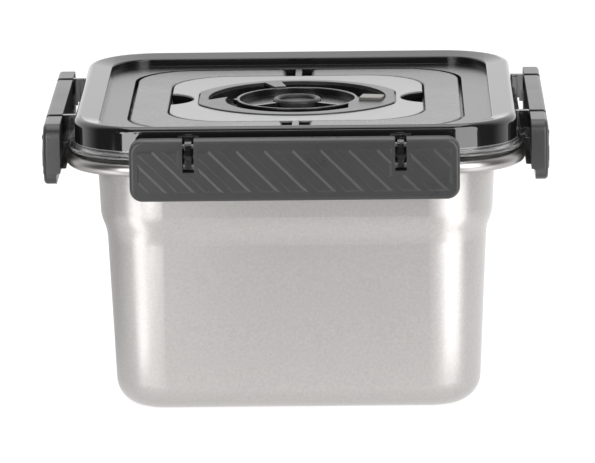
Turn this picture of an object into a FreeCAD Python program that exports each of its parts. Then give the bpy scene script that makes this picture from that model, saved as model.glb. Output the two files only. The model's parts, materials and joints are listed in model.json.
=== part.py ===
import FreeCAD, Part
import math
import os

V = FreeCAD.Vector
UP = V(0, 0, 1)
SIDES = ("front", "right", "rear", "left")

# Driving dimensions, in millimetres and degrees.
# The origin is the middle of the base, Z is up and the front faces -Y.

# Clearances
run_gap = 0.3
fit_gap = 0.02
pin_gap = 0.05

# Steel canister
canister_height = 113.7
mouth_width = 172.8
body_corner = 29.0
wall_draft = 2.6
shoulder_step = 2.3
shoulder_height = 80.9
shoulder_length = 13.0
bottom_radius = 12.0
sheet = 0.8
flange_reach = 12.9
flange_corner = 34.5
lip_height = 5.8
lip_tail = 1.2

# Lid shell
lid_setback = 1.2
seat_gap = 1.6
foot_flare = 2.5
foot_edge = 0.8
skirt_wall = 2.2
rim_share = 0.113
rim_rise = 4.8
rim_lean = 11.0
rim_round = 2.7
rim_inner_round = 0.8
lid_floor = 2.5
border_share = 0.1185
inner_skirt_depth = 8.0
inner_skirt_wall = 2.0
inner_skirt_gap = 1.2

# Lid gasket
gasket_height = 2.85
gasket_width = 5.0
gasket_bead = 1.2

# Carry handles
handle_share = 0.164
handle_thickness = 4.5
handle_gap = 1.4
handle_corner = 26.0
handle_round = 0.8
pivot_offset = 8.0
pivot_tab = 2.9
handle_pin = 2.5
handle_pin_hold = 3.0

# Centre panel
panel_corner = 26.0
panel_gap = 0.8
panel_thickness = 0.9
panel_round = 0.4
finger_width = 28.0
finger_share = 0.798

# Bezel plate
bezel_share = 0.777
bezel_rise = 0.5
bezel_flat = 30.0
bezel_corner = 16.0
bezel_gap = 0.5
bezel_round = 0.4
slot_share = 0.91
slot_end_turn = 8.0
slot_end_slant = 39.0
stop_start = 101.0
stop_end = 112.0

# Release ring, its lever and its collar
ring_share = 0.684
ring_rise = 0.05
ring_wall = 1.4
ring_floor = 1.5
ring_round = 0.4
ring_gap = 0.5
front_gap = 4.8
front_gap_shift = 6.2
front_gap_end = 22.8
beak_reach = 1.3
beak_width = 7.0
beak_height = 2.2
arm_width = 5.6
arm_height = 1.9
lever_turn = -11.5
lever_corner = 1.5
tab_width = 8.8
tab_height = 1.8
tab_rise = 1.3
tab_round = 0.4
tab_gap = 0.6
spoke_width = 2.4
spoke_height = 2.2
spoke_angles = (215, 325)
groove_count = 10
groove_turn = 2.6
groove_width = 0.6
groove_depth = 0.5
groove_inset = 0.9
neck_radius = 8.0
collar_width = 4.0
collar_height = 1.7

# Valve
plug_share = 0.393
plug_rim_share = 0.252
plug_rise = 0.2
dimple_depth = 1.6
plug_skin = 0.6
stem_radius = 2.6
stem_head_radius = 4.5
stem_head_height = 0.7
tail_width = 3.4
tail_length = 9.0
guide_radius = 15.0
guide_wall = 1.5
guide_height = 8.0
air_hole = 2.0
air_hole_circle = 18.0
air_hole_count = 8

# Latches
latch_length = 140.7
latch_height = 26.45
latch_thickness = 7.2
latch_drop = 3.35
latch_gap = 2.5
latch_corner = 5.5
latch_round = 1.6
latch_lip = 5.4
step_round = 1.2
rib_height = 2.2
rib_drop = 0.9
rib_inset = 10.0
rib_round = 0.7
pin_inset = 3.2
pin_drop = 3.2
latch_pin = 2.0
latch_pin_length = 16.0
notch_spacing = 90.5
notch_width = 4.9
notch_depth = 13.9
tongue_radius = 2.2
tongue_side_gap = 1.0
tongue_end_gap = 2.0
lug_width = 9.0
lug_reach = 3.0
lug_drop = 0.3
neck_rise = 0.3
pad_height = 0.65
pad_bevel = 0.9
pad_width = 8.4
pad_pitch = 11.98
pad_shift = -0.5
pad_top_margin = 4.3
pad_bottom_margin = 3.75
pad_end_margin = 3.4
pad_notch_margin = 1.5

# Levels and half widths that follow from them
flange_top = canister_height
mouth_half = mouth_width / 2
body_axis = mouth_half - body_corner
flange_half = mouth_half + flange_reach
lid_axis = flange_half - flange_corner
lip_radius = lip_height / 2
lip_bottom = flange_top - lip_height

lid_bottom = flange_top + seat_gap
gasket_bottom = flange_top + run_gap
lid_underside = gasket_bottom + gasket_height
channel_floor = lid_underside + lid_floor
handle_bottom = channel_floor + run_gap
plate_top = handle_bottom + handle_thickness
lid_top = plate_top + rim_rise
foot_half = flange_half - lid_setback
skirt_half = foot_half - foot_flare
skirt_inner = skirt_half - skirt_wall
rim_inner = skirt_half * (1 - rim_share)

channel_half = rim_inner - skirt_half * border_share
handle_half = channel_half - handle_gap
handle_band = skirt_half * handle_share
handle_inner = handle_half - handle_band
panel_half = handle_inner - panel_gap
island_top = plate_top - panel_thickness
handle_pivot_z = plate_top - handle_thickness / 2

bezel_half = panel_half * bezel_share
finger_depth = (panel_half - bezel_half) * finger_share
bezel_top = plate_top + bezel_rise
slot_radius = bezel_half * slot_share
ring_radius = slot_radius * ring_share
ring_top = plate_top + ring_rise
ring_bottom = channel_floor + run_gap
cup_floor = ring_bottom + ring_floor
neck_bottom = lid_underside - run_gap - collar_height
lever_end = slot_radius - ring_gap
tab_top = bezel_top + tab_rise

plug_radius = ring_radius * plug_share
plug_rim = plug_radius * plug_rim_share
plug_bottom = cup_floor + run_gap
plug_top = ring_top + plug_rise
dimple_floor = plug_top - dimple_depth
head_top = dimple_floor - plug_skin
head_bottom = head_top - stem_head_height
stem_bore = stem_radius + run_gap

latch_inner = flange_half + latch_gap
latch_face = latch_inner + latch_thickness
latch_top = lid_top - latch_drop
latch_bottom = latch_top - latch_height
latch_pin_out = latch_inner + pin_inset
latch_pin_z = latch_top - pin_drop
notch_bottom = latch_top - notch_depth
rib_top = lip_bottom - rib_drop
rib_bottom = rib_top - rib_height
rib_tip = flange_half + run_gap


def square_wire(half, radius, z):
    """Closed outline of a square with round corners, level with the floor."""
    flat = half - radius
    bend = flat + radius * math.cos(math.pi / 4)
    edges = []
    for turn in range(4):
        spin = FreeCAD.Rotation(UP, 90 * turn)
        start = spin.multVec(V(half, -flat, z))
        end = spin.multVec(V(half, flat, z))
        middle = spin.multVec(V(bend, bend, z))
        finish = spin.multVec(V(flat, half, z))
        edges.append(Part.makeLine(start, end))
        edges.append(Part.Arc(end, middle, finish).toShape())
    return Part.Wire(edges)


def square_prism(half, radius, bottom, top):
    """Upright block on a square with round corners."""
    return Part.Face(square_wire(half, radius, bottom)).extrude(V(0, 0, top - bottom))


def cylinder(radius, bottom, top, x=0, y=0):
    """Upright cylinder between two levels."""
    return Part.makeCylinder(radius, top - bottom, V(x, y, bottom))


def prism(points, bottom, top):
    """Upright block on a polygon of (x, y) points."""
    corners = [V(x, y, bottom) for x, y in points]
    return Part.Face(Part.makePolygon(corners + corners[:1])).extrude(V(0, 0, top - bottom))


def section(start, *steps):
    """Closed outline of (x, z) points in the XZ plane; a pair of points is an arc by its middle."""
    here = V(start[0], 0, start[1])
    first = here
    edges = []
    for step in steps:
        if isinstance(step[0], tuple):
            middle = V(step[0][0], 0, step[0][1])
            there = V(step[1][0], 0, step[1][1])
            edges.append(Part.Arc(here, middle, there).toShape())
        else:
            there = V(step[0], 0, step[1])
            edges.append(Part.makeLine(here, there))
        here = there
    edges.append(Part.makeLine(here, first))
    return Part.Wire(edges)


def arc_point(centre, radius, angle):
    """The (x, z) point of a circle at an angle from the X axis."""
    turn = math.radians(angle)
    return (centre[0] + radius * math.cos(turn), centre[1] + radius * math.sin(turn))


def sweep_square(profile, axis):
    """Carry a closed XZ outline round a square whose corner axes stand at +-axis."""
    face = Part.Face(profile)
    pieces = []
    for turn in range(4):
        side = face.translated(V(0, -axis, 0)).extrude(V(0, 2 * axis, 0))
        corner = face.translated(V(0, axis, 0)).revolve(V(axis, axis, 0), UP, 90)
        for piece in (side, corner):
            piece.rotate(V(), UP, 90 * turn)
            pieces.append(piece)
    return pieces[0].fuse(pieces[1:]).removeSplitter()


def spun(profile):
    """Turn a closed XZ outline once round the Z axis."""
    return Part.Face(profile).revolve(V(), UP, 360)


def on_side(shape, side):
    """A copy of a front piece, turned to the named side."""
    copy = shape.copy()
    copy.rotate(V(), UP, 90 * SIDES.index(side))
    return copy


def front_box(left, right, near, far, bottom, top):
    """Block on the front side, between two distances from the middle."""
    return Part.makeBox(right - left, far - near, top - bottom, V(left, -far, bottom))


def level_edges(shape, z):
    """Edges of a shape that lie in one level."""
    found = []
    for edge in shape.Edges:
        box = edge.BoundBox
        if abs(box.ZMin - z) < 1e-6 and abs(box.ZMax - z) < 1e-6:
            found.append(edge)
    return found


def rounded_top(shape, radius):
    """Round the edges of a shape's top face."""
    return shape.makeFillet(radius, level_edges(shape, shape.BoundBox.ZMax))


def wall_skin(depth):
    """Edges of the canister's wall, from its floor to its mouth, that far inside the outer skin."""
    lean = math.radians(wall_draft)
    slope = math.tan(lean)
    inward = V(-depth * math.cos(lean), 0, depth * math.sin(lean))
    rise = V(math.sin(lean), 0, math.cos(lean)) * (shoulder_length / 2)

    def wall_x(z):
        return mouth_half - (canister_height - z) * slope

    foot = wall_x(0) - shoulder_step
    centre = (foot - bottom_radius * (1 - math.sin(lean)) / math.cos(lean), bottom_radius)
    radius = bottom_radius - depth
    bend = [arc_point(centre, radius, angle) for angle in (-90, -45 - wall_draft / 2, -wall_draft)]
    bend = [V(x, 0, z) for x, z in bend]
    low = shoulder_height - shoulder_length / 2
    high = shoulder_height + shoulder_length / 2
    step_start = V(wall_x(low) - shoulder_step, 0, low) + inward
    step_end = V(wall_x(high), 0, high) + inward
    mouth = V(mouth_half - depth / math.cos(lean), 0, canister_height)
    step = Part.BezierCurve()
    step.setPoles([step_start, step_start + rise, step_end - rise, step_end])
    edges = [
        Part.Arc(*bend).toShape(),
        Part.makeLine(bend[2], step_start),
        step.toShape(),
        Part.makeLine(step_end, mouth),
    ]
    return edges, bend[0], mouth


def make_canister():
    outer, outer_floor, outer_mouth = wall_skin(0)
    inner, inner_floor, inner_mouth = wall_skin(sheet)
    closing = [Part.makeLine(outer_mouth, inner_mouth), Part.makeLine(inner_floor, outer_floor)]
    wall = sweep_square(Part.Wire(Part.__sortEdges__(outer + inner + closing)), body_axis)
    base = square_prism(outer_floor.x, outer_floor.x - body_axis, 0, sheet)

    curl_out = flange_half - lip_radius
    web = square_prism(curl_out, curl_out - lid_axis, flange_top - sheet, flange_top)
    web = web.cut(square_prism(inner_mouth.x, inner_mouth.x - body_axis, flange_top - sheet, flange_top))

    middle = (curl_out, flange_top - lip_radius)
    inside = lip_radius - sheet
    curl = sweep_square(
        section(
            arc_point(middle, lip_radius, 90),
            (arc_point(middle, lip_radius, 0), arc_point(middle, lip_radius, -90)),
            (curl_out - lip_tail, lip_bottom),
            (curl_out - lip_tail, lip_bottom + sheet),
            arc_point(middle, inside, -90),
            (arc_point(middle, inside, 0), arc_point(middle, inside, 90)),
        ),
        lid_axis,
    )
    return wall.fuse([base, web, curl]).removeSplitter()


def make_lug():
    """Hinge lug of the front latch: a root on the skirt, a neck and a tongue round the pin."""
    half = lug_width / 2
    root = front_box(-half, half, skirt_inner, skirt_half + lug_reach, lid_bottom, latch_top - lug_drop)
    neck_out = latch_inner - run_gap
    neck_top = latch_top + neck_rise
    reach = latch_pin_out + tongue_radius
    tongue_low = notch_bottom + tongue_end_gap
    pin = (latch_pin_out, latch_pin_z)
    outline = section(
        (skirt_inner, lid_bottom),
        (rib_tip, lid_bottom),
        (rib_tip, tongue_low),
        (reach, tongue_low),
        (reach, latch_pin_z),
        (arc_point(pin, tongue_radius, 45), arc_point(pin, tongue_radius, 90)),
        (neck_out, latch_pin_z + tongue_radius),
        (neck_out, neck_top),
        (skirt_inner, neck_top),
    )
    width = notch_width - 2 * tongue_side_gap
    tongue = Part.Face(outline).extrude(V(0, width, 0))
    tongue.rotate(V(), UP, -90)
    tongue.translate(V(-width / 2, 0, 0))
    lug = root.fuse(tongue)
    bore = latch_pin / 2 + pin_gap
    hole = Part.makeCylinder(bore, lug_width, V(-half, -latch_pin_out, latch_pin_z), V(1, 0, 0))
    return lug.cut(hole)


def handle_pin_rods(radius, length):
    """The two rods of the front handle pivot, along Y."""
    middle = (handle_half + handle_inner) / 2
    rods = []
    for x in (-pivot_offset, pivot_offset):
        rods.append(Part.makeCylinder(radius, length, V(x, -middle - length / 2, handle_pivot_z), V(0, 1, 0)))
    return rods


def handle_pin_length():
    return channel_half - panel_half + 2 * handle_pin_hold


def pin_holes():
    """Seats of all four handle pins."""
    holes = []
    for rod in handle_pin_rods(handle_pin / 2 + fit_gap, handle_pin_length() + 2 * fit_gap):
        holes.append(rod)
        holes.append(on_side(rod, "rear"))
    return holes


def finger_notches(bottom, top):
    """Two round bites at the left and right edges of the centre panel."""
    radius = ((finger_width / 2) ** 2 + finger_depth ** 2) / (2 * finger_depth)
    middle = panel_half - finger_depth + radius
    disc = cylinder(radius, bottom, top, middle)
    reach = panel_half + run_gap
    bite = disc.common(Part.makeBox(reach, 2 * reach, top - bottom, V(0, -reach, bottom)))
    return [bite, on_side(bite, "rear")]


def make_lid():
    crest = (skirt_half - rim_round, lid_top - rim_round)
    flare = (foot_half, lid_bottom + foot_edge + foot_flare)
    lean = math.radians(rim_lean)
    brink_x = rim_inner + rim_inner_round
    fall = (crest[0] - brink_x) * math.tan(lean) - (rim_round - rim_inner_round) / math.cos(lean)
    brink = (brink_x, crest[1] - fall)
    skirt = sweep_square(
        section(
            (foot_half, lid_bottom),
            (foot_half, lid_bottom + foot_edge),
            (arc_point(flare, foot_flare, -135), arc_point(flare, foot_flare, 180)),
            arc_point(crest, rim_round, 0),
            (arc_point(crest, rim_round, 45), arc_point(crest, rim_round, 90 + rim_lean)),
            arc_point(brink, rim_inner_round, 90 + rim_lean),
            (arc_point(brink, rim_inner_round, 135), arc_point(brink, rim_inner_round, 180)),
            (rim_inner, lid_underside),
            (skirt_inner, lid_underside),
            (skirt_inner, lid_bottom),
        ),
        lid_axis,
    )
    plate = square_prism(rim_inner, rim_inner - lid_axis, lid_underside, plate_top)
    channel = square_prism(channel_half, handle_corner + handle_gap, channel_floor, plate_top)
    island = square_prism(panel_half, panel_corner, channel_floor, island_top)
    plate = plate.cut(channel).fuse(island)
    plate = plate.cut(cylinder(slot_radius, channel_floor, island_top))
    plate = plate.cut(cylinder(neck_radius + pin_gap, lid_underside, channel_floor))
    plate = plate.cut(finger_notches(channel_floor, island_top))

    wall_half = mouth_half - sheet - inner_skirt_gap
    wall_bottom = flange_top - inner_skirt_depth
    inside = wall_half - inner_skirt_wall
    wall = square_prism(wall_half, wall_half - body_axis, wall_bottom, lid_underside)
    wall = wall.cut(square_prism(inside, inside - body_axis, wall_bottom, lid_underside))

    tab = front_box(-pivot_tab / 2, pivot_tab / 2, panel_half, channel_half, channel_floor, plate_top)
    lug = make_lug()
    extras = [plate, wall, tab, on_side(tab, "rear")]
    for side in SIDES:
        for x in (-notch_spacing / 2, notch_spacing / 2):
            extras.append(on_side(lug.translated(V(x, 0, 0)), side))
    return skirt.fuse(extras).cut(pin_holes()).removeSplitter()


def make_gasket():
    outer = skirt_inner - run_gap
    inner = outer - gasket_width
    middle = (outer + inner) / 2
    shoulder = gasket_bottom + gasket_bead
    return sweep_square(
        section(
            (inner, lid_underside),
            (outer, lid_underside),
            (outer, shoulder),
            ((middle, gasket_bottom), (inner, shoulder)),
        ),
        lid_axis,
    )


def make_handle():
    """Right half of the carry handle, a C that ends in two eyes."""
    outer = square_prism(handle_half, handle_corner, handle_bottom, plate_top)
    inner_corner = panel_corner + panel_gap
    band = outer.cut(square_prism(handle_inner, inner_corner, handle_bottom, plate_top))
    band = band.makeFillet(handle_round, level_edges(band, plate_top) + level_edges(band, handle_bottom))
    span = 2 * handle_half
    beyond = Part.makeBox(span, span, span, V(pivot_offset - span, -handle_half, handle_bottom))
    half = band.cut(beyond)
    eye = Part.makeCylinder(handle_thickness / 2, handle_band, V(pivot_offset, 0, handle_pivot_z), V(0, 1, 0))
    rings = [edge for edge in eye.Edges if isinstance(edge.Curve, Part.Circle)]
    eye = eye.makeFillet(handle_round, rings)
    eyes = [eye.translated(V(0, y, 0)).common(beyond) for y in (-handle_half, handle_inner)]
    bore = Part.makeCylinder(
        handle_pin / 2 + pin_gap, span, V(pivot_offset, -handle_half, handle_pivot_z), V(0, 1, 0)
    )
    return half.fuse(eyes).removeSplitter().cut(bore)


def barrel(half, flat, bottom, top, corner):
    """Upright block with two flat sides at +-X and two bowed sides at +-Y."""
    right_low = V(half, -flat, bottom)
    right_high = V(half, flat, bottom)
    left_high = V(-half, flat, bottom)
    left_low = V(-half, -flat, bottom)
    wire = Part.Wire([
        Part.makeLine(right_low, right_high),
        Part.Arc(right_high, V(0, half, bottom), left_high).toShape(),
        Part.makeLine(left_high, left_low),
        Part.Arc(left_low, V(0, -half, bottom), right_low).toShape(),
    ])
    block = Part.Face(wire).extrude(V(0, 0, top - bottom))
    uprights = [edge for edge in block.Edges if edge.BoundBox.ZLength > (top - bottom) / 2]
    return block.makeFillet(corner, uprights)


def make_centre_panel():
    plate = square_prism(panel_half, panel_corner, island_top, plate_top)
    flat = bezel_flat / 2
    window = barrel(bezel_half + bezel_gap, flat + bezel_gap, island_top, plate_top, bezel_corner + bezel_gap)
    plate = plate.cut([window] + finger_notches(island_top, plate_top))
    return rounded_top(plate, panel_round).cut(pin_holes())


def lever_slot(bottom, top):
    """Hole of the bezel: a ring hole, a lever slot behind it and a finger gap before it."""
    hole = cylinder(ring_radius + ring_gap, bottom, top)
    far = 2 * slot_radius
    lever_side = arc_point((0, 0), tab_width / 2 + ring_gap, lever_turn - 90)
    end = arc_point((0, 0), slot_radius, 180 + slot_end_turn)
    slant = math.tan(math.radians(slot_end_slant))
    front = [
        lever_side,
        arc_point(lever_side, far, lever_turn),
        (far, -far),
        (-far, -far),
        (-far, end[1] - (far + end[0]) * slant),
        (0, end[1] - end[0] * slant),
    ]
    slot = cylinder(slot_radius, bottom, top).cut(prism(front, bottom, top))
    gap = cylinder(ring_radius + front_gap, bottom, top, 0, -front_gap_shift)
    gap = gap.cut(Part.makeBox(far, far, top - bottom, V(front_gap_end, -far, bottom)))
    stop = [arc_point((0, 0), far, angle) for angle in (stop_start, stop_end)]
    stop = prism([(0, 0)] + stop, bottom, top)
    stop = stop.cut(cylinder(ring_radius + ring_gap, bottom, top))
    return slot.fuse(gap).cut(stop).fuse(hole)


def make_bezel():
    plate = barrel(bezel_half, bezel_flat / 2, island_top, bezel_top, bezel_corner)
    plate = rounded_top(plate, bezel_round)
    return plate.cut(lever_slot(island_top, bezel_top))


def lever_bar(start, end, width, bottom, top):
    """Bar with round outer corners, from start to end along the lever."""
    bar = Part.makeBox(end - start, width, top - bottom, V(start, -width / 2, bottom))
    outer = [edge for edge in bar.Edges if edge.BoundBox.XMin > end - 1e-6]
    uprights = [edge for edge in outer if edge.BoundBox.ZLength > (top - bottom) / 2]
    bar = bar.makeFillet(lever_corner, uprights)
    bar.rotate(V(), UP, lever_turn)
    return bar


def make_release_ring():
    cup = cylinder(ring_radius, ring_bottom, ring_top)
    cup = cup.cut(cylinder(ring_radius - ring_wall, cup_floor, ring_top))
    cup = rounded_top(cup, ring_round)
    beak_root = ring_radius - ring_wall / 2
    beak_tip = ring_radius + beak_reach
    half = beak_width / 2
    beak_top = ring_top - ring_round
    beak = prism([(beak_root, -half), (beak_tip, 0), (beak_root, half)], beak_top - beak_height, beak_top)
    arm_top = tab_top - tab_height
    arm = lever_bar(beak_root, lever_end, arm_width, arm_top - arm_height, arm_top)
    pieces = [beak, on_side(beak, "rear"), arm, cylinder(neck_radius, neck_bottom, ring_bottom)]
    spoke_root = plug_radius + run_gap
    spoke_end = ring_radius - ring_wall / 2
    for angle in spoke_angles:
        spoke = Part.makeBox(
            spoke_end - spoke_root, spoke_width, spoke_height, V(spoke_root, -spoke_width / 2, cup_floor)
        )
        spoke.rotate(V(), UP, angle)
        pieces.append(spoke)
    cuts = [cylinder(stem_bore, neck_bottom, cup_floor)]
    groove_height = ring_top - ring_bottom - 2 * groove_inset
    for number in range(groove_count):
        corner = V(ring_radius - groove_depth, -groove_width / 2, ring_bottom + groove_inset)
        groove = Part.makeBox(ring_wall, groove_width, groove_height, corner)
        groove.rotate(V(), UP, groove_turn * (number - (groove_count - 1) / 2) - 90)
        cuts.append(groove)
    return cup.fuse(pieces).cut(cuts).removeSplitter()


def make_lever_tab():
    start = ring_radius + beak_reach + tab_gap
    tab = lever_bar(start, lever_end, tab_width, tab_top - tab_height, tab_top)
    return rounded_top(tab, tab_round)


def make_collar():
    bore = neck_radius + fit_gap
    outer = cylinder(bore + collar_width, neck_bottom, neck_bottom + collar_height)
    return outer.cut(cylinder(bore, neck_bottom, neck_bottom + collar_height))


def make_plug():
    rim = plug_rim / 2
    crown = (plug_radius - rim, plug_top - rim)
    profile = section(
        (stem_radius, plug_bottom),
        (plug_radius, plug_bottom),
        arc_point(crown, rim, 0),
        (arc_point(crown, rim, 90), arc_point(crown, rim, 180)),
        (plug_radius - plug_rim, dimple_floor),
        (0, dimple_floor),
        (0, head_top),
        (stem_head_radius, head_top),
        (stem_head_radius, head_bottom),
        (stem_radius, head_bottom),
    )
    return spun(profile)


def make_stem():
    shaft = cylinder(stem_radius, neck_bottom, head_bottom)
    head = cylinder(stem_head_radius, head_bottom, head_top)
    half = tail_width / 2
    tail = Part.makeBox(tail_width, tail_width, tail_length, V(-half, -half, neck_bottom - tail_length))
    return shaft.fuse([head, tail]).removeSplitter()


def make_guide():
    bottom = lid_underside - guide_height
    cap = cylinder(guide_radius, bottom, lid_underside)
    cap = cap.cut(cylinder(guide_radius - guide_wall, bottom + guide_wall, lid_underside))
    slot = tail_width + 2 * run_gap
    holes = [Part.makeBox(slot, slot, guide_height, V(-slot / 2, -slot / 2, bottom))]
    for number in range(air_hole_count):
        x, y = arc_point((0, 0), air_hole_circle / 2, 360 * number / air_hole_count)
        holes.append(cylinder(air_hole / 2, bottom, bottom + guide_wall, x, y))
    return cap.cut(holes)


def tapered(base, crown):
    """Block on the latch face, from a base outline to a crown outline of (x, z) points."""
    low = [V(x, -latch_face, z) for x, z in base]
    high = [V(x, -latch_face - pad_height, z) for x, z in crown]
    loops = [low, high]
    for corner in range(len(low)):
        loops.append([low[corner - 1], low[corner], high[corner], high[corner - 1]])
    faces = [Part.Face(Part.makePolygon(loop + loop[:1])) for loop in loops]
    return Part.Solid(Part.Shell(faces))


def rectangle(left, right, low, high, inset):
    """Four (x, z) corners of a rectangle, drawn in on every side."""
    return [
        (left + inset, low + inset),
        (right - inset, low + inset),
        (right - inset, high - inset),
        (left + inset, high - inset),
    ]


def make_pads():
    """Slanted grip pads with bevelled edges, cut back from the bar's ends and hinge notches."""
    reach = latch_length / 2 - pad_end_margin
    low = latch_bottom + pad_bottom_margin
    high = latch_top - pad_top_margin
    slant_bevel = pad_bevel * math.sqrt(2)
    count = int(latch_length / pad_pitch / 2) + 2
    stripes = []
    for number in range(-count, count + 1):
        right = pad_shift + pad_pitch * number
        outlines = []
        for inset in (0, slant_bevel):
            start = right - pad_width + inset
            end = right - inset
            shift = latch_height
            outlines.append([
                (start - shift, high + shift),
                (end - shift, high + shift),
                (end + 2 * shift, high - 2 * shift),
                (start + 2 * shift, high - 2 * shift),
            ])
        stripes.append(tapered(*outlines))
    band = [rectangle(-reach, reach, low, high, inset) for inset in (0, pad_bevel)]
    pads = Part.makeCompound(stripes).common(tapered(*band))
    keep = notch_width / 2 + pad_notch_margin
    for x in (-notch_spacing / 2, notch_spacing / 2):
        bottom = notch_bottom - pad_notch_margin
        notch = [rectangle(x - keep, x + keep, bottom, latch_top, -inset) for inset in (0, pad_bevel)]
        pads = pads.cut(tapered(*notch))
    return pads.Solids


def make_latch():
    """Front latch: a bar with a grip face, two hinge notches and a rib that hooks the rolled lip."""
    half = latch_length / 2
    bar = Part.makeBox(latch_length, latch_thickness, latch_height, V(-half, -latch_face, latch_bottom))
    posts = [edge for edge in bar.Edges if edge.BoundBox.YLength > latch_thickness / 2]
    bar = bar.makeFillet(latch_corner, posts)
    face_edges = [edge for edge in bar.Edges if edge.BoundBox.YMax < -latch_face + 1e-6]
    bar = bar.makeFillet(latch_round, face_edges)

    step = latch_thickness - latch_lip
    step_top = rib_bottom - run_gap
    bend = (latch_inner + step - step_round, step_top - step_round)
    hollow = section(
        (latch_inner - step, latch_bottom),
        (latch_inner + step, latch_bottom),
        arc_point(bend, step_round, 0),
        (arc_point(bend, step_round, 45), arc_point(bend, step_round, 90)),
        (latch_inner - step, step_top),
    )
    hollow = Part.Face(hollow).extrude(V(0, latch_length, 0))
    hollow.rotate(V(), UP, -90)
    hollow.translate(V(-half, 0, 0))

    rib_half = half - rib_inset
    rib = front_box(-rib_half, rib_half, rib_tip, latch_inner, rib_bottom, rib_top)
    tip_edges = [edge for edge in rib.Edges if edge.BoundBox.YMin > -rib_tip - 1e-6]
    rib = rib.makeFillet(rib_round, [edge for edge in tip_edges if edge.BoundBox.XLength > rib_half])

    cuts = [hollow]
    for x in (-notch_spacing / 2, notch_spacing / 2):
        left = x - notch_width / 2
        cuts.append(front_box(left, left + notch_width, latch_inner, latch_face, notch_bottom, latch_top))
        cuts.append(latch_rod(x, latch_pin / 2 + fit_gap, latch_pin_length + 2 * fit_gap))
    return bar.cut(cuts).fuse([rib] + make_pads()).removeSplitter()


def latch_rod(x, radius, length):
    """Rod along X at a hinge of the front latch."""
    return Part.makeCylinder(radius, length, V(x - length / 2, -latch_pin_out, latch_pin_z), V(1, 0, 0))


def latch_pins():
    rods = [latch_rod(x, latch_pin / 2, latch_pin_length) for x in (-notch_spacing / 2, notch_spacing / 2)]
    return Part.makeCompound(rods)


def make_nodes():
    handle = make_handle()
    handle_pins = Part.makeCompound(handle_pin_rods(handle_pin / 2, handle_pin_length()))
    nodes = {
        "steel_canister": make_canister(),
        "lid_shell": make_lid(),
        "lid_gasket": make_gasket(),
        "centre_panel": make_centre_panel(),
        "bezel_plate": make_bezel(),
        "release_ring": make_release_ring(),
        "lever_tab": make_lever_tab(),
        "ring_retainer": make_collar(),
        "valve_plug": make_plug(),
        "valve_stem": make_stem(),
        "valve_guide": make_guide(),
        "right_handle": handle,
        "left_handle": on_side(handle, "rear"),
        "front_handle_pins": handle_pins,
        "rear_handle_pins": on_side(handle_pins, "rear"),
    }
    latch = make_latch()
    pins = latch_pins()
    for side in SIDES:
        nodes[side + "_latch"] = on_side(latch, side)
        nodes[side + "_latch_pins"] = on_side(pins, side)
    return nodes


os.makedirs("parts", exist_ok=True)
for name, shape in make_nodes().items():
    shape.exportStep("parts/" + name + ".step")
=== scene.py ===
import bpy
import json
import math
from mathutils import Euler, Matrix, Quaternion, Vector

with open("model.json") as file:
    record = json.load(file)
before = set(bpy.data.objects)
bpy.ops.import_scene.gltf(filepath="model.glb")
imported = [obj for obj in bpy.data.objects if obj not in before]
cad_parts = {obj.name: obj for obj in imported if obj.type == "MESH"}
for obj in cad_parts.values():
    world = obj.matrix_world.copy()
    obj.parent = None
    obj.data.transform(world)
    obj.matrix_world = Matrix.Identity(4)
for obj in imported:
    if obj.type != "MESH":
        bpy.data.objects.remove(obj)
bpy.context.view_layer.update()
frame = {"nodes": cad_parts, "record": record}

# Half width and top of the steel tub, in metres.
tub = frame["nodes"]["steel_canister"].data
TUB_HALF = max(vertex.co.x for vertex in tub.vertices)
TUB_TOP = max(vertex.co.z for vertex in tub.vertices)

# Half widths and heights in metres where a finish changes, and how softly it does.
LUG_START = TUB_HALF - 0.0031
PLATE_EDGE = TUB_HALF - 0.0147
FOOT_TOP = TUB_TOP + 0.0051
LIP_START = TUB_TOP - 0.0082
LUG_BLEND = 0.0006
FOOT_BLEND = 0.0006
PLATE_BLEND = 0.0010
LIP_BLEND = 0.0020

# Softened edges, narrow gaps and surface relief, in metres.
EDGE_RADIUS = 0.00025
GAP_DEPTH = 0.014
GRAIN_RELIEF = 0.00005
SATIN_RELIEF = 0.00004
DRAWN_RELIEF = 0.00002
SCATTER_DEPTH = 0.003

# Noise scales: grains per metre.
CLOUD_SCALE = 14
MOTTLE_SCALE = 60
SPECKLE_SCALE = 900
LINE_SCALE = 1800
PLATE_GRAIN_SCALE = 1800
SATIN_SCALE = 2600

# Moulded plastics: how far the colour mottles, how far wear and a painted highlight lighten edges,
# and how far painted shade darkens gaps.
MOTTLE_SHARE = 0.1
WEAR_AND_HIGHLIGHT_SHARE = 0.3
GAP_SHADE_SHARE = 0.1
GAP_ROUGH = 0.95
GAP_RANGE = (0.25, 0.62)
EDGE_RANGE = (0.8, 0.98)
SHADE_SAMPLES = 6
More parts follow.
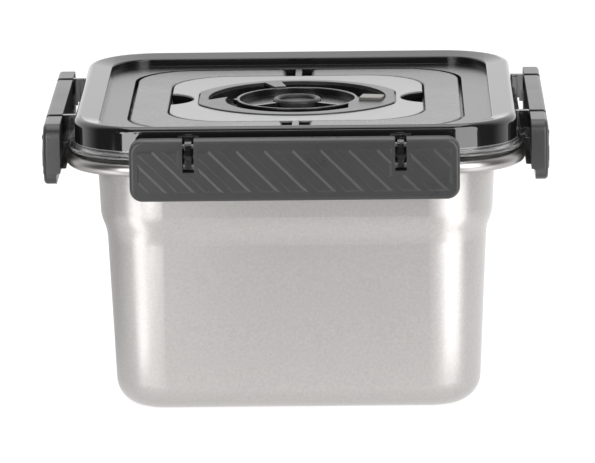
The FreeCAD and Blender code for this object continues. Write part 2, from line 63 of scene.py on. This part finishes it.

# Each moulded plastic: colour, edge colour for wear and a painted highlight, least and most
# roughness, grains per metre, relief.
PLASTICS = {
    "grey_panel": {
        "colour": (0.27, 0.27, 0.275), "worn": (0.34, 0.34, 0.345),
        "shine": 0.28, "rough": 0.36, "grain_scale": 2600, "relief": 0.12,
    },
    "bezel_grey": {
        "colour": (0.035, 0.034, 0.035), "worn": (0.09, 0.088, 0.09),
        "shine": 0.26, "rough": 0.34, "grain_scale": 2600, "relief": 0.12,
    },
    "handle_grey": {
        "colour": (0.09, 0.09, 0.092), "worn": (0.15, 0.15, 0.152),
        "shine": 0.24, "rough": 0.32, "grain_scale": 2400, "relief": 0.12,
    },
    "latch_grey": {
        "colour": (0.036, 0.036, 0.0365), "worn": (0.045, 0.045, 0.046),
        "shine": 0.26, "rough": 0.33, "grain_scale": 2400, "relief": 0.12,
        "Specular_IOR_Level": 0.32,
    },
    "lever_cream": {
        "colour": (0.17, 0.162, 0.15), "worn": (0.28, 0.268, 0.248),
        "shine": 0.32, "rough": 0.42, "grain_scale": 2400, "relief": 0.10,
        "Specular_IOR_Level": 0.3,
    },
    "black_silicone": {
        "colour": (0.030, 0.029, 0.030), "worn": (0.09, 0.09, 0.09),
        "shine": 0.34, "rough": 0.42, "grain_scale": 1500, "relief": 0.15,
        "Specular_IOR_Level": 0.3,
    },
}

# Floor: its edges in metres, its glow to the camera and to gloss, and where that changes.
FLOOR_SIDE = 0.58
FLOOR_FRONT = -0.5
FLOOR_BACK = 1.6
FLOOR_LEVEL = -0.0001
FLOOR_GREY = 0.20
FLOOR_GLOW = 0.84
FRONT_GLOW = 1.15
FADED_GLOW = 0.52
GLOW_START = -0.22
GLOW_FULL = -0.10
FADE_END = 0.02
FADE_LEFT = -0.10
FADE_RIGHT = -0.06

# Room: its light in front of the part and behind it, and the directions where that changes.
ROOM_FRONT = 0.06
ROOM_BACK = 1.3
ROOM_RANGE = (-0.2, 0.5)

# Lamps: place, aim, width and height in metres, and radiance, where 1 looks white.
LAMPS = {
    "top_softbox": ((0, 0, 1.35), (0, 0, 0.1), 0.9, 1.1, 3.0),
    "front_softbox": ((0, -1.3, 0.9), (0, 0, 0.1), 0.9, 0.18, 4.0),
    "left_softbox": ((-0.211, -0.431, 0.155), (0, 0, 0.155), 0.18, 0.26, 7.6),
    "right_softbox": ((0.294, -0.429, 0.285), (0, 0, 0.285), 0.27, 0.54, 5.5),
    "left_strip": ((-0.1130, -0.1157, 0.046), (-0.058, -0.081, 0.046), 0.030, 0.09, 1.75),
    "right_strip": ((0.1122, -0.1168, 0.046), (0.058, -0.081, 0.046), 0.046, 0.09, 1.5),
}

scene = bpy.context.scene
scene.view_settings.view_transform = "Standard"


def add_object(name, data):
    piece = bpy.data.objects.new(name, data)
    scene.collection.objects.link(piece)
    return piece


def add_camera():
    target = Vector((-0.0006, 0, 0.0636))
    tilt = math.radians(11.58)
    turn = 0.01417
    roll = -0.01276
    distance = 2.506
    data = bpy.data.cameras.new("camera")
    data.sensor_width = 36
    data.lens = 340.3
    camera = add_object("camera", data)
    level = Euler((math.radians(90) - tilt, 0, turn)).to_quaternion()
    aim = level @ Quaternion((0, 0, 1), roll)
    camera.rotation_euler = aim.to_euler()
    camera.location = target + aim @ Vector((0, 0, distance))
    scene.camera = camera


def add_softbox(name, place, aim, width, height, radiance):
    """Area lamp that shines from place to aim."""
    data = bpy.data.lights.new(name, "AREA")
    data.shape = "RECTANGLE"
    data.size = width
    data.size_y = height
    data.energy = radiance * math.pi * width * height
    lamp = add_object(name, data)
    lamp.location = place
    lamp.rotation_euler = (Vector(aim) - Vector(place)).to_track_quat("-Z", "Y").to_euler()


def scaled(colour, share):
    return tuple(share * channel for channel in colour)


class Finish:
    """One material and the nodes that feed its shader."""

    def __init__(self, name, metallic=0.0, **sockets):
        self.material = bpy.data.materials.new(name)
        self.material.use_nodes = True
        self.tree = self.material.node_tree
        self.shader = self.tree.nodes["Principled BSDF"]
        self.shader.inputs["Metallic"].default_value = metallic
        for socket, value in sockets.items():
            self.shader.inputs[socket.replace("_", " ")].default_value = value
        self.point = self.add("ShaderNodeTexCoord").outputs["Object"]

    def add(self, kind, **settings):
        node = self.tree.nodes.new(kind)
        for key, value in settings.items():
            setattr(node, key, value)
        return node

    def feed(self, socket, value):
        """Link a socket to another one, or give it a plain value."""
        if isinstance(value, bpy.types.NodeSocket):
            self.tree.links.new(value, socket)
        else:
            socket.default_value = value

    def set(self, name, value):
        self.feed(self.shader.inputs[name], value)

    def noise(self, scale, detail=2.0, stretch=(1, 1, 1)):
        """Noise whose grains are about 1/scale metres across."""
        point = self.point
        if stretch != (1, 1, 1):
            mapping = self.add("ShaderNodeMapping")
            mapping.inputs["Scale"].default_value = stretch
            self.feed(mapping.inputs["Vector"], self.point)
            point = mapping.outputs["Vector"]
        node = self.add("ShaderNodeTexNoise")
        node.inputs["Scale"].default_value = scale
        node.inputs["Detail"].default_value = detail
        self.feed(node.inputs["Vector"], point)
        return node.outputs["Fac"]

    def span(self, value, low, high, start=0.0, end=1.0):
        """Carry a value from start..end to low..high."""
        node = self.add("ShaderNodeMapRange")
        node.inputs["From Min"].default_value = start
        node.inputs["From Max"].default_value = end
        self.feed(node.inputs["To Min"], low)
        self.feed(node.inputs["To Max"], high)
        self.feed(node.inputs["Value"], value)
        return node.outputs["Result"]

    def math(self, operation, first, second=0.0):
        node = self.add("ShaderNodeMath", operation=operation)
        self.feed(node.inputs[0], first)
        self.feed(node.inputs[1], second)
        return node.outputs["Value"]

    def mix(self, share, first, second):
        """Blend two colours, from the first at share 0 to the second at share 1."""
        node = self.add("ShaderNodeMix", data_type="RGBA")
        self.feed(node.inputs["Factor"], share)
        for socket, colour in (("A", first), ("B", second)):
            slot = [s for s in node.inputs if s.name == socket and s.type == "RGBA"][0]
            self.feed(slot, colour if isinstance(colour, bpy.types.NodeSocket) else (*colour, 1))
        return [s for s in node.outputs if s.type == "RGBA"][0]

    def axis(self, name):
        """X, Y or Z of the shaded point, in metres from the middle of the base."""
        node = self.add("ShaderNodeSeparateXYZ")
        self.feed(node.inputs["Vector"], self.point)
        return node.outputs[name]

    def reach(self):
        """Distance from the middle to the square ring that the point lies on."""
        across = self.math("ABSOLUTE", self.axis("X"))
        along = self.math("ABSOLUTE", self.axis("Y"))
        return self.math("MAXIMUM", across, along)

    def gaps(self):
        """Mask for painted shade and rougher gloss: 1 in the open, 0 deep in narrow gaps."""
        node = self.add("ShaderNodeAmbientOcclusion", samples=SHADE_SAMPLES)
        node.inputs["Distance"].default_value = GAP_DEPTH
        return self.span(node.outputs["AO"], 0.0, 1.0, *GAP_RANGE)

    def edges(self):
        """Normal that rounds sharp edges, and a mask that is 1 on them."""
        bevel = self.add("ShaderNodeBevel", samples=SHADE_SAMPLES)
        bevel.inputs["Radius"].default_value = EDGE_RADIUS
        plain = self.add("ShaderNodeNewGeometry")
        dot = self.add("ShaderNodeVectorMath", operation="DOT_PRODUCT")
        self.feed(dot.inputs[0], bevel.outputs["Normal"])
        self.feed(dot.inputs[1], plain.outputs["Normal"])
        return bevel.outputs["Normal"], self.span(dot.outputs["Value"], 1.0, 0.0, *EDGE_RANGE)

    def bump(self, height, strength, distance, normal=None):
        node = self.add("ShaderNodeBump")
        node.inputs["Strength"].default_value = strength
        node.inputs["Distance"].default_value = distance
        self.feed(node.inputs["Height"], height)
        if normal is not None:
            self.feed(node.inputs["Normal"], normal)
        self.set("Normal", node.outputs["Normal"])


def satin_steel():
    """Deep-drawn steel with a fine satin grain and a polished rolled lip."""
    dull = (0.45, 0.435, 0.425)
    bright = (0.47, 0.455, 0.445)
    speck = (0.29, 0.281, 0.275)
    polished = (0.32, 0.31, 0.303)
    finish = Finish("satin_steel", metallic=1.0)
    grain = finish.noise(SATIN_SCALE, 3)
    speckle = finish.noise(SPECKLE_SCALE, 3)
    cloud = finish.noise(CLOUD_SCALE, 3)
    lip = finish.span(finish.axis("Z"), 0.0, 1.0, LIP_START, LIP_START + LIP_BLEND)
    tone = finish.mix(cloud, dull, bright)
    tone = finish.mix(finish.span(speckle, 0.0, 0.7), tone, speck)
    finish.set("Base Color", finish.mix(lip, tone, polished))
    smear = finish.math("ADD", finish.math("MULTIPLY", grain, 0.5), cloud)
    satin = finish.span(smear, 0.27, 0.37, 0.5, 1.0)
    finish.set("Roughness", finish.span(lip, satin, 0.33))
    body = finish.span(lip, 1.0, 0.0)
    finish.bump(finish.math("MULTIPLY", grain, body), 0.25, SATIN_RELIEF)
    return finish.material


def moulded(name, colour, worn, shine, rough, grain_scale, relief, **sockets):
    """Moulded plastic: mottled colour, painted shade in gaps, fine spark grain, edges softened and
    lightened by wear and a painted highlight.
    """
    finish = Finish(name, **sockets)
    mottle = finish.noise(MOTTLE_SCALE, 4)
    grain = finish.noise(grain_scale, 2)
    normal, mask = finish.edges()
    tone = finish.mix(mottle, scaled(colour, 1 - MOTTLE_SHARE), scaled(colour, 1 + MOTTLE_SHARE))
    # Wear and a painted highlight: sharp edges lighten towards the edge colour.
    tone = finish.mix(finish.math("MULTIPLY", mask, WEAR_AND_HIGHLIGHT_SHARE), tone, worn)
    gaps = finish.gaps()
    # Painted shade: deep in narrow gaps the colour falls to a small share of itself.
    finish.set("Base Color", finish.mix(gaps, scaled(colour, GAP_SHADE_SHARE), tone))
    fine = finish.math("MULTIPLY", grain, 0.4)
    broad = finish.math("MULTIPLY", mottle, 0.6)
    gloss = finish.span(finish.math("ADD", fine, broad), shine, rough, 0.3, 0.7)
    finish.set("Roughness", finish.span(gaps, GAP_ROUGH, gloss))
    finish.bump(grain, relief, GRAIN_RELIEF, normal)
    return finish.material


def smoky_plastic():
    """Smoke-grey gloss moulding, clearer at the lugs and the foot, satin on the top plate."""
    deep = (0.006, 0.006, 0.0063)
    pale = (0.009, 0.009, 0.0094)
    worn = (0.04, 0.04, 0.041)
    foot_tint = (0.75, 0.75, 0.75)
    lug_tint = (0.15, 0.15, 0.152)
    finish = Finish("smoky_plastic", IOR=1.56)
    mottle = finish.noise(MOTTLE_SCALE, 4)
    grain = finish.noise(PLATE_GRAIN_SCALE, 2)
    normal, mask = finish.edges()
    reach = finish.reach()
    lug = finish.span(reach, 0.0, 1.0, LUG_START, LUG_START + LUG_BLEND)
    foot = finish.span(finish.axis("Z"), 1.0, 0.0, FOOT_TOP - FOOT_BLEND, FOOT_TOP)
    plate = finish.span(reach, 1.0, 0.0, PLATE_EDGE - PLATE_BLEND / 2, PLATE_EDGE + PLATE_BLEND / 2)
    thin = finish.math("MAXIMUM", lug, foot)
    smoke = finish.mix(mottle, deep, pale)
    # Wear and a painted highlight: sharp edges lighten towards a paler smoke.
    smoke = finish.mix(finish.math("MULTIPLY", mask, 0.5), smoke, worn)
    clear = finish.mix(lug, foot_tint, lug_tint)
    finish.set("Base Color", finish.mix(thin, smoke, clear))
    finish.set("Transmission Weight", finish.span(thin, 0.0, 0.95))
    gloss = finish.span(mottle, 0.04, 0.09)
    satin = finish.span(plate, gloss, finish.span(grain, 0.20, 0.28))
    finish.set("Roughness", finish.span(foot, satin, 0.22))
    finish.bump(finish.math("MULTIPLY", grain, plate), 0.08, GRAIN_RELIEF, normal)
    return finish.material


def clear_silicone():
    """Milky seal with a fine dust."""
    shaded = (0.70, 0.70, 0.69)
    milky = (0.80, 0.80, 0.79)
    finish = Finish("clear_silicone", Subsurface_Weight=0.4, Transmission_Weight=0.35, IOR=1.41)
    finish.set("Subsurface Radius", (SCATTER_DEPTH, SCATTER_DEPTH, SCATTER_DEPTH))
    dust = finish.noise(SPECKLE_SCALE, 3)
    finish.set("Base Color", finish.mix(dust, shaded, milky))
    finish.set("Roughness", finish.span(dust, 0.35, 0.55))
    finish.bump(dust, 0.2, SATIN_RELIEF)
    return finish.material


def drawn_steel():
    """Pin steel with fine lines along X."""
    dark = (0.10, 0.10, 0.10)
    light = (0.16, 0.16, 0.16)
    finish = Finish("pin_steel", metallic=1.0)
    lines = finish.noise(LINE_SCALE, 2, (0.05, 1, 1))
    finish.set("Base Color", finish.mix(lines, dark, light))
    finish.set("Roughness", finish.span(lines, 0.18, 0.36))
    finish.bump(lines, 0.2, DRAWN_RELIEF)
    return finish.material


def dress():
    """Give every node the finish of its record slot."""
    finishes = {name: moulded(name, **look) for name, look in PLASTICS.items()}
    finishes["satin_steel"] = satin_steel()
    finishes["smoky_plastic"] = smoky_plastic()
    finishes["clear_silicone"] = clear_silicone()
    finishes["pin_steel"] = drawn_steel()
    for part in frame["record"]["subparts"]:
        mesh = frame["nodes"][part["node"]].data
        mesh.materials.clear()
        mesh.materials.append(finishes[part["material_slot"]])


def floor_white():
    """White to the camera; to gloss, a glow before the front wall that fades on the left."""
    finish = Finish("floor_white", Roughness=0.6)
    finish.set("Base Color", (FLOOR_GREY, FLOOR_GREY, FLOOR_GREY, 1))
    finish.set("Emission Color", (1, 1, 1, 1))
    path = finish.add("ShaderNodeLightPath").outputs
    gloss = finish.math("MAXIMUM", path["Is Glossy Ray"], path["Is Transmission Ray"])
    glow = finish.span(finish.axis("Y"), FLOOR_GLOW, FRONT_GLOW, GLOW_START, GLOW_FULL)
    fade = finish.span(finish.axis("Y"), FRONT_GLOW, FADED_GLOW, GLOW_FULL, FADE_END)
    left = finish.math("MINIMUM", glow, fade)
    seen = finish.span(finish.axis("X"), left, glow, FADE_LEFT, FADE_RIGHT)
    glossy = finish.math("MULTIPLY", gloss, seen)
    finish.set("Emission Strength", finish.span(path["Is Camera Ray"], glossy, FLOOR_GLOW))
    return finish.material


def add_floor():
    mesh = bpy.data.meshes.new("floor")
    corners = [
        (-FLOOR_SIDE, FLOOR_FRONT, FLOOR_LEVEL),
        (FLOOR_SIDE, FLOOR_FRONT, FLOOR_LEVEL),
        (FLOOR_SIDE, FLOOR_BACK, FLOOR_LEVEL),
        (-FLOOR_SIDE, FLOOR_BACK, FLOOR_LEVEL),
    ]
    mesh.from_pydata(corners, [], [(0, 1, 2, 3)])
    mesh.materials.append(floor_white())
    add_object("floor", mesh)


def light_world():
    """White to the camera; to the part, a dim room in front and a bright one behind."""
    world = bpy.data.worlds.new("studio")
    scene.world = world
    world.use_nodes = True
    tree = world.node_tree
    background = tree.nodes["Background"]
    path = tree.nodes.new("ShaderNodeLightPath")
    place = tree.nodes.new("ShaderNodeTexCoord")
    split = tree.nodes.new("ShaderNodeSeparateXYZ")
    tree.links.new(place.outputs["Generated"], split.inputs["Vector"])
    behind = tree.nodes.new("ShaderNodeMapRange")
    behind.interpolation_type = "SMOOTHSTEP"
    behind.inputs["From Min"].default_value = ROOM_RANGE[0]
    behind.inputs["From Max"].default_value = ROOM_RANGE[1]
    behind.inputs["To Min"].default_value = ROOM_FRONT
    behind.inputs["To Max"].default_value = ROOM_BACK
    tree.links.new(split.outputs["Y"], behind.inputs["Value"])
    pick = tree.nodes.new("ShaderNodeMix")
    pick.data_type = "FLOAT"
    tree.links.new(path.outputs["Is Camera Ray"], pick.inputs["Factor"])
    tree.links.new(behind.outputs["Result"], pick.inputs["A"])
    pick.inputs["B"].default_value = 1.0
    tree.links.new(pick.outputs["Result"], background.inputs["Strength"])
    background.inputs["Color"].default_value = (1, 1, 1, 1)


add_camera()
dress()
add_floor()
light_world()
for lamp_name, lamp in LAMPS.items():
    add_softbox(lamp_name, *lamp)
